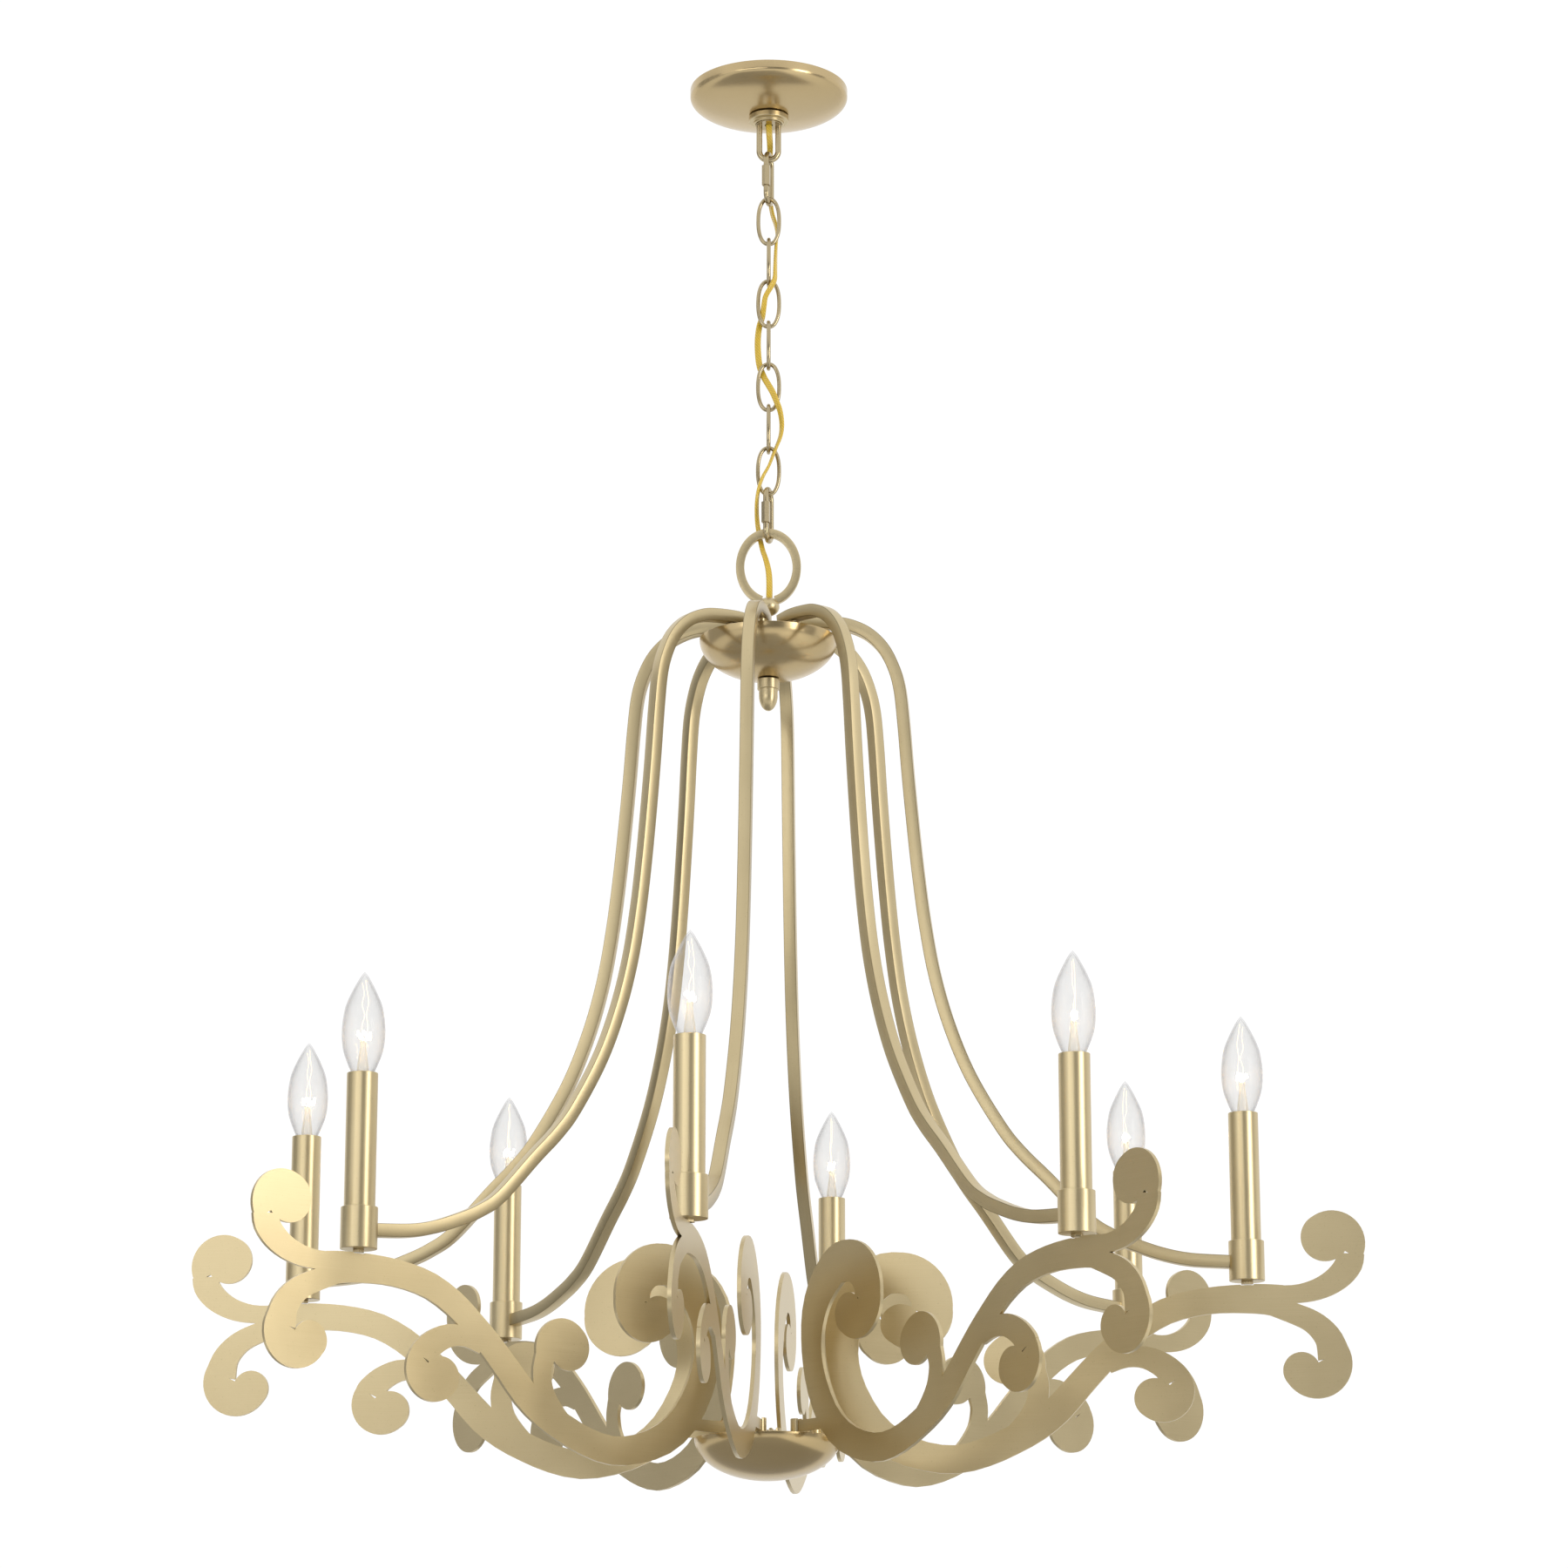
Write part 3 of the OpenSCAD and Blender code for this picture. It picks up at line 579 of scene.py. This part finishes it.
def makeChain(shape):
    for k in linkNumbers:
        low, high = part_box("link_%d" % k)
        flat = ovalPath(high[2] - low[2], shape["width"], shape["wire"], shape["bend"], shape["power"])
        piece = linkSweep("chainLink%d" % k, flat, chainTurn + (0 if k % 2 else 90), (low[2] + high[2]) / 2,
                          shape["wire"], shape["around"], True)
        settle(piece, "chain_%d" % k, "chain_brass", "link_%d" % k)
    for end in ("top", "bottom"):
        node = "quick_link_" + end
        low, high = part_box(node)
        flat = leggedOval(high[2] - low[2], shape["width"], shape["quickWire"], shape["bend"], shape["leg"])
        flat = gapped(flat, (shape["width"] - shape["quickWire"]) / 2, shape["gapLow"], shape["gapHigh"])
        piece = linkSweep("quickLink" + end.title(), flat, chainTurn + 90 + shape["quickTurn"],
                          (low[2] + high[2]) / 2, shape["quickWire"], shape["around"], False)
        settle(piece, node + "_body", "chain_brass", node)
        nut = roundedCopy(node + "_nut", "quickNut" + end.title(), shape["nutEdge"], shadedChainBrassPlain)
        settle(nut, "quick_nut_" + end, "chain_brass")


makeChain(chainShape)
print("chain made")

# canopy, collar and loop
canopyShape = {"radius": 0.0635, "depth": 0.0222, "rim": 0.006, "sheet": 0.0012, "hole": 0.0106, "steps": 40,
               "segments": 128, "edge": 0.0004, "loopEdge": 0.0003, "collarEdge": 0.0007}


def makeCanopy(shape):
    # outside (r cos a, -rim - depth sin a), a quarter ellipse cut off at the hole; inside the same, smaller
    r, hole, t = shape["radius"], shape["hole"], shape["sheet"]
    last = math.acos(hole / r)
    a = np.linspace(0, last, shape["steps"])
    depth = (shape["depth"] - shape["rim"]) / math.sin(last)
    outside = np.stack([r * np.cos(a), -shape["rim"] - depth * np.sin(a)], -1)
    inside = np.stack([hole + (r - t - hole) * (r * np.cos(a) - hole) / (r - hole),
                       t - shape["rim"] - depth * np.sin(a)], -1)[::-1]
    profile = np.vstack([[[r, 0]], outside, inside, [[r - t, 0]]])
    dish = turned("canopyDish", profile, (0, 0, 0), dishBrass, shape["segments"])
    settle(bevelled(dish, shape["edge"]), "ceiling_mount", "satin_brass", "canopy")
    loop = roundedCopy("canopy_loop", "canopyLoop", shape["loopEdge"], shadedChainBrassPlain)
    settle(loop, "ceiling_mount", "satin_brass")
    collar = roundedCopy("collar_ring", "collarRing", shape["collarEdge"], plainBrass)
    settle(collar, "collar", "satin_brass")


makeCanopy(canopyShape)
print("canopy made")

# hanging ring
ringShape = {"width": 0.0512, "height": 0.0626, "face": 0.0066, "depth": 0.005, "corner": 0.0004,
             "opening": 14.0, "top": 0.6025, "steps": 110}


def makeRing(shape):
    # an ellipse open at its foot: (a cos t, b sin t)
    t = np.radians(np.linspace(-90 + shape["opening"], 270 - shape["opening"], shape["steps"]))
    a, b = (shape["width"] - shape["face"]) / 2, (shape["height"] - shape["face"]) / 2
    flat = np.stack([a * np.cos(t), b * np.sin(t)], -1)
    path = standing(flat, chainTurn, cupLevel + shape["top"] - shape["height"] / 2)
    normal = standing(np.array([[1.0, 0.0]]), chainTurn + 90, 0)[0]
    section = roundedBox(shape["depth"], shape["face"], shape["corner"])
    ring = sweep("hangingRing", path, normal, section, satinBrass, sharp=20)
    settle(ring, "fixture", "satin_brass", "hanging_ring")


makeRing(ringShape)

# ball over the hub
ballShape = {"width": 0.0087, "height": 0.0075, "bore": 0.0026, "boreHalf": 0.002, "level": 0.5388,
             "steps": 40, "edge": 0.0003}


def makeBall(shape):
    # an ellipse (w cos t, h sin t) cut off where it meets the bore
    w, h, bore, half = (shape[k] for k in ("width", "height", "bore", "boreHalf"))
    tip = math.asin(math.sqrt(1 - (bore / w) ** 2))
    t = np.linspace(-tip, tip, shape["steps"])
    profile = np.vstack([np.stack([w * np.cos(t), h * np.sin(t)], -1), [[bore, half], [bore, -half]]])
    ball = turned("hubBall", profile, (0, 0, cupLevel + shape["level"]), satinBrass, 64)
    settle(bevelled(ball, shape["edge"]), "fixture", "satin_brass", "hub_ball")


makeBall(ballShape)

# hub bowl
hubBowlShape = {"radius": 0.054, "depth": 0.0324, "sheet": 0.0012, "hole": 0.00255, "level": 0.512,
                "edge": 0.0004, "steps": 44}


def makeBowl(name, node, shape):
    # a quarter ellipse (a cos t, -b sin t) outside and a smaller one inside, both ending at the hole
    def side(a, b):
        t = np.linspace(0, math.acos(shape["hole"] / a), shape["steps"])
        return np.stack([a * np.cos(t), -b * np.sin(t)], -1)
    thin = shape["sheet"]
    profile = np.vstack([side(shape["radius"], shape["depth"]),
                         side(shape["radius"] - thin, shape["depth"] - thin)[::-1]])
    bowl = turned(name, profile, (0, 0, cupLevel + shape["level"]), dishBrass, 128)
    settle(bevelled(bowl, shape["edge"]), "fixture", "satin_brass", node)


makeBowl("hubBowl", "hub_bowl", hubBowlShape)

# finial, a collar and a bullet
finialShape = {"collar": 0.0086, "collarHeight": 0.008, "nose": 0.0074, "noseFrom": 0.0125,
               "noseLength": 0.0126, "bore": 0.0026, "boreDepth": 0.012, "level": 0.4793, "edge": 0.0004}


def makeFinial(shape):
    # the nose is a quarter ellipse: (r cos t, -from - length sin t)
    t = np.radians(np.linspace(0, 88, 26))
    r, start, bore, deep = (shape[k] for k in ("nose", "noseFrom", "bore", "boreDepth"))
    nose = np.stack([r * np.cos(t), -start - shape["noseLength"] * np.sin(t)], -1)
    profile = np.vstack([[[bore, 0], [shape["collar"], 0], [shape["collar"], -shape["collarHeight"]],
                          [r, -shape["collarHeight"]]], nose,
                         [[0.0, -start - shape["noseLength"]], [0.0, -deep], [bore, -deep]]])
    finial = turned("finialTip", profile, (0, 0, cupLevel + shape["level"]), satinBrass, 64)
    settle(bevelled(finial, shape["edge"]), "finial_body", "satin_brass", "finial")


makeFinial(finialShape)
print("hub made")

# arms
armShape = {"bar": 0.0095, "wall": 0.0012, "corner": 0.00045, "innerCorner": 0.0003, "steps": 7, "sharp": 24,
            "shift": 0.37}
# distance from the axis and height over the cups, in millimetres
armLine = [
    (17.5, 522.5), (32, 524), (50, 523), (64, 520.5), (78.5, 513.5), (90.5, 501.5), (98.5, 486), (103.5, 468),
    (106.5, 440), (109.5, 400), (113, 360), (117, 320), (122, 280), (129, 240), (140, 200), (156, 160),
    (179, 120), (194.5, 100), (214, 80), (243.5, 48.5), (262, 36), (280, 28), (300, 21), (320, 16.8),
    (348.6, 14.5)]


def makeArms(shape):
    line = smoothCurve(np.array(armLine) * 0.001, shape["steps"])
    path = np.stack([line[:, 0], np.zeros(len(line)), line[:, 1] + cupLevel], -1)
    ahead = np.gradient(path, axis=0)
    ahead /= np.linalg.norm(ahead, axis=1)[:, None]
    side = np.array([0.0, 1.0, 0.0])
    up = np.cross(ahead, side)
    outer = roundedBox(shape["bar"], shape["bar"], shape["corner"])
    bore = shape["bar"] - 2 * shape["wall"]
    inner = roundedBox(bore, bore, shape["innerCorner"])
    # out along the outer wall and back along the inner one, closed into one skin
    walls = [path[:, None] + side * p[None, :, :1] + up[:, None] * p[None, :, 1:] for p in (outer, inner)]
    points = np.concatenate([walls[0], walls[1][::-1]])
    along = runLength(path)
    u = np.concatenate([along, along[::-1]])
    v = runLength(np.vstack([outer, outer[:1]]))[:-1]
    for k in range(armCount):
        # the grain is shifted from arm to arm, so that no two look alike
        piece = gridMesh("armTube%d" % (k + 1), spun(points, armStep * k), (u + shape["shift"] * k, v),
                         armBrassPaintedShade, sharp=shape["sharp"])
        settle(piece, "fixture", "satin_brass", "arm_%d" % (k + 1))


makeArms(armShape)
print("arms made")

# scroll plates
plateShape = {"edge": 0.0, "shift": 0.7, "sharp": 30}


def makePlates(shape):
    for k in range(armCount):
        a = math.radians(armStep * k)

        def grain(co, a=a, k=k):
            # the strokes run outwards along the plate
            out = co[:, 0] * math.cos(a) + co[:, 1] * math.sin(a)
            return np.stack([out + shape["shift"] * k, co[:, 2]], -1)
        piece = roundedCopy("scroll_%d" % (k + 1), "scrollPlate%d" % (k + 1), shape["edge"], satinBrass,
                            grain, shape["sharp"])
        settle(piece, "fixture", "satin_brass")


makePlates(plateShape)
print("plates made")

# candles: cups and sleeves
candleShape = {"circle": 0.361, "cupRadius": 0.0133, "cupHeight": 0.030, "cupWall": 0.0015, "floor": 0.002,
               "hole": 0.0026, "sleeveRadius": 0.0112, "sleeveWall": 0.001, "sleeveFoot": 0.00202,
               "sleeveTop": 0.1267, "cupEdge": 0.0004, "sleeveEdge": 0.0003}


def makeCandle(shape, number, centre):
    r, h, w, f, hole = (shape[k] for k in ("cupRadius", "cupHeight", "cupWall", "floor", "hole"))
    s, w2, foot, top = (shape[k] for k in ("sleeveRadius", "sleeveWall", "sleeveFoot", "sleeveTop"))
    cup = turned("candleCup%d" % number, [[r, 0], [r, h], [r - w, h], [r - w, f], [hole, f], [hole, 0]],
                 centre, satinBrass, 48)
    settle(bevelled(cup, shape["cupEdge"]), "fixture", "satin_brass", "candle_cups")
    sleeve = turned("candleSleeve%d" % number, [[s, foot], [s, top], [s - w2, top], [s - w2, foot]], centre,
                    satinBrass, 48, grainAround=False)
    settle(bevelled(sleeve, shape["sleeveEdge"]), "fixture", "satin_brass", "candle_sleeves")


# bulbs: outlines are radius and height over the sleeve's top, wires are across, away and up, in millimetres
bulbLine = [(8, 0), (10.6, 5.7), (13.9, 14.6), (15.3, 22), (15.7, 29.5), (15.2, 38), (13.3, 48.8), (9, 59.2),
            (5.1, 66.7), (2.5, 71.1), (0, 74.1)]
stemLine = [(4.5, -2), (4, 6), (3, 13), (2.1, 19), (2.4, 22.5), (1.3, 24.5), (0, 24.8), (0, -2)]
capLine = [(0, -18.7), (5.2, -18.7), (6.2, -17.2), (6.2, -3.2), (0, -3.2)]
supportLine = [(0, 0, 24.5), (1.2, 0.5, 34), (-0.6, 0.8, 42), (1.4, 0, 50), (0.4, -0.5, 58), (1.6, 0, 66)]
pullLine = [(-1, 0.4, 24.5), (-3, 0, 33), (-2, 0.8, 43), (-3.2, 0, 52), (-1.6, 0.4, 62), (-0.8, 0, 68)]
bulbShape = {"neck": 0.0061, "foot": -0.0034, "glass": 0.0007, "innerRise": 73.3 / 74.1, "coilWidth": 0.0046,
             "coilDepth": 0.0032, "coilLevel": 0.0275, "coilWave": 0.0026, "coilWire": 0.00065,
             "thinWire": 0.00016, "turnFirst": 20, "turnStep": 33}


def millimetres(points):
    return np.array(points) * 0.001


def makeBulb(shape, number, seat):
    line = smoothCurve(millimetres(bulbLine), 4)
    inside = (line * [1, shape["innerRise"]] - [shape["glass"], 0]).clip(0, 1)[::-1]
    neck, foot = shape["neck"], shape["foot"]
    skin = np.vstack([[[neck, foot]], line, inside, [[neck - shape["glass"], foot]]])
    # the coil is a loop that rises and falls three times: (cos, sin, wave) of a turn
    t = np.linspace(0, 2 * math.pi, 90)
    coil = np.stack([shape["coilWidth"] * np.cos(t * 0.5 + 0.4), shape["coilDepth"] * np.sin(t),
                     shape["coilLevel"] + shape["coilWave"] * np.sin(t * 3)], -1)
    wires = [smoothCurve(millimetres([(0.6 * e, 0, 24.2), (2.4 * e, 0.8, 25.6), (4.4 * e, 0.6, 27.4)]), 6)
             for e in (-1, 1)]
    wires += [smoothCurve(millimetres(points), 5) for points in (supportLine, pullLine)]
    turn = shape["turnStep"] * (number - 1) + shape["turnFirst"]
    body = "bulb_body_%d" % number
    settle(turned("bulbGlass%d" % number, skin, seat, bulbGlass, 56, sharp=70), body, "clear_glass",
           "bulb_%d" % number)
    settle(turned("bulbStem%d" % number, millimetres(stemLine), seat, stemGlass, 24, sharp=70), body,
           "clear_glass")
    settle(turned("bulbCap%d" % number, millimetres(capLine), seat, plainBrass, 32), body, "satin_brass")
    settle(sweep("bulbCoil%d" % number, spun(coil, turn) + seat, (0.1, 0.1, 1), circle(shape["coilWire"], 8),
                 hotWire), body, "clear_glass")
    # the stem and support wires carry a painted glow, as if lit by the filament
    for n, wire in enumerate(wires):
        settle(sweep("bulbWire%d_%d" % (number, n + 1), spun(wire, turn) + seat, (0.3, 1, 0.1),
                     circle(shape["thinWire"], 6), paintedGlowWires), body, "clear_glass")


for number in range(1, armCount + 1):
    a = math.radians(armStep * (number - 1))
    centre = np.array([candleShape["circle"] * math.cos(a), candleShape["circle"] * math.sin(a), cupLevel])
    makeCandle(candleShape, number, centre)
    makeBulb(bulbShape, number, centre + np.array([0, 0, candleShape["sleeveTop"]]))
print("candles made")

# lower bowl and the small parts
lowerBowlShape = {"radius": 0.055, "depth": 0.0315, "sheet": 0.0012, "hole": 0.0, "level": -0.111,
                  "edge": 0.0004, "steps": 44}
smallEdge = 0.0003
roundedParts = {"lower_posts": ("lowerPosts", plainBrass), "lower_plate": ("lowerPlate", plainBrass),
                "hub_plate": ("hubPlate", plainBrass), "cup_studs": ("cupStuds", shadedChainBrassPlain),
                "hub_nuts": ("hubNuts", zincSteel), "arm_screws": ("armScrews", shadedChainBrassPlain),
                "lower_stud": ("lowerStud", shadedChainBrassPlain)}
# CAD nodes that stay as they are and only get a finish
finishedParts = {"hub_rod": shadedChainBrassPlain, "candle_sockets": socketPlastic, "crossbar": zincSteel,
                 "ground_screw": greenPaint, "canopy_nipple": zincSteel, "nipple_nut": zincSteel,
                 "wire_nuts": nutPlastic}


def makeSmallParts():
    for node, (name, finish) in roundedParts.items():
        settle(roundedCopy(node, name, smallEdge, finish), "fixture", "satin_brass")
    for node, finish in finishedParts.items():
        for held in nodes[node].material_slots:
            held.material = finish


makeBowl("lowerBowl", "lower_bowl", lowerBowlShape)
makeSmallParts()
print("small parts made")

# studio: pale floor, soft lights and a white surround
studio = {
    "floor": -1.75, "floorHalf": 6, "surround": 1.04, "aim": (0, 0, -0.8),
    "key": {"place": (-0.9, -3.2, -0.25), "size": (2.4, 0.9), "power": 13.0, "color": (1, 1, 1)},
    "fill": {"place": (2.4, -1.6, -0.4), "size": (1.0, 1.6), "power": 24.0, "color": (1.0, 0.97, 0.92)},
    # tone and two opposite corners of each
    "cards": {"cardBehind": (0.24, (-2.6, -4.6, -1.7), (3.4, -4.6, 1.3)),
              "cardRight": (0.40, (3.6, -2.0, -1.7), (3.6, 0.2, 0.3)),
              "cardLeft": (0.42, (-3.6, -1.8, -1.7), (-3.6, 1.4, 1.3)),
              "cardBelow": (0.36, (-1.5, -1.6, -1.72), (0.7, 0.9, -1.72))}}


def softLight(name, look, aim):
    data = bpy.data.lights.new(name, "AREA")
    data.shape, data.energy, data.color = "RECTANGLE", look["power"], look["color"]
    data.size, data.size_y = look["size"]
    lamp = bpy.data.objects.new(name, data)
    bpy.context.scene.collection.objects.link(lamp)
    lamp.location = look["place"]
    lamp.rotation_euler = (Vector(aim) - Vector(look["place"])).to_track_quat("-Z", "Y").to_euler()


def panel(name, corners, finish, onlyReflected=False):
    mesh = bpy.data.meshes.new(name)
    mesh.from_pydata(corners, [], [(0, 1, 2, 3)])
    mesh.materials.append(finish)
    piece = bpy.data.objects.new(name, mesh)
    bpy.context.scene.collection.objects.link(piece)
    if onlyReflected:
        for sight in ("camera", "diffuse", "shadow", "transmission"):
            setattr(piece, "visible_" + sight, False)
    piece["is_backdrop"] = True


def makeStudio(shape):
    pale = plainFinish("paleFloor", {
        "dark": (0.80, 0.80, 0.79), "light": (0.86, 0.86, 0.85), "cloudScale": 2.0, "peelScale": 60.0,
        "roughness": 0.7, "bump": 0.02, "metallic": 0.0})
    z, half = shape["floor"], shape["floorHalf"]
    panel("floor", [(-half, -half, z), (half, -half, z), (half, half, z), (-half, half, z)], pale)
    # grey cards that only reflections see
    for name, (tone, (x0, y0, z0), (x1, y1, z1)) in shape["cards"].items():
        grey = plainFinish(name, {
            "dark": [0.9 * tone] * 3, "light": [1.1 * tone] * 3, "cloudScale": 1.0, "peelScale": 40.0,
            "roughness": 0.9, "bump": 0.02, "metallic": 0.0})
        if z0 == z1:
            corners = [(x0, y0, z0), (x1, y0, z0), (x1, y1, z0), (x0, y1, z0)]
        else:
            corners = [(x0, y0, z0), (x1, y1, z0), (x1, y1, z1), (x0, y0, z1)]
        panel(name, corners, grey, True)
    world = bpy.data.worlds.new("surround")
    bpy.context.scene.world = world
    # the surround is not sampled as a light, as it would shine straight through the cards
    world.cycles.sampling_method = "NONE"
    world.use_nodes = True
    backdrop = world.node_tree.nodes["Background"].inputs
    backdrop["Color"].default_value = (1.0, 1.0, 1.0, 1.0)
    backdrop["Strength"].default_value = shape["surround"]
    for name in ("key", "fill"):
        softLight(name, shape[name], shape["aim"])
    bpy.context.scene.view_settings.view_transform = "Standard"


makeStudio(studio)
print("studio made")

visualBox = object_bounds()
for title, corners in (("cad box", cadBox), ("visual box", visualBox)):
    print(title, [[round(x, 4) for x in corner] for corner in corners])
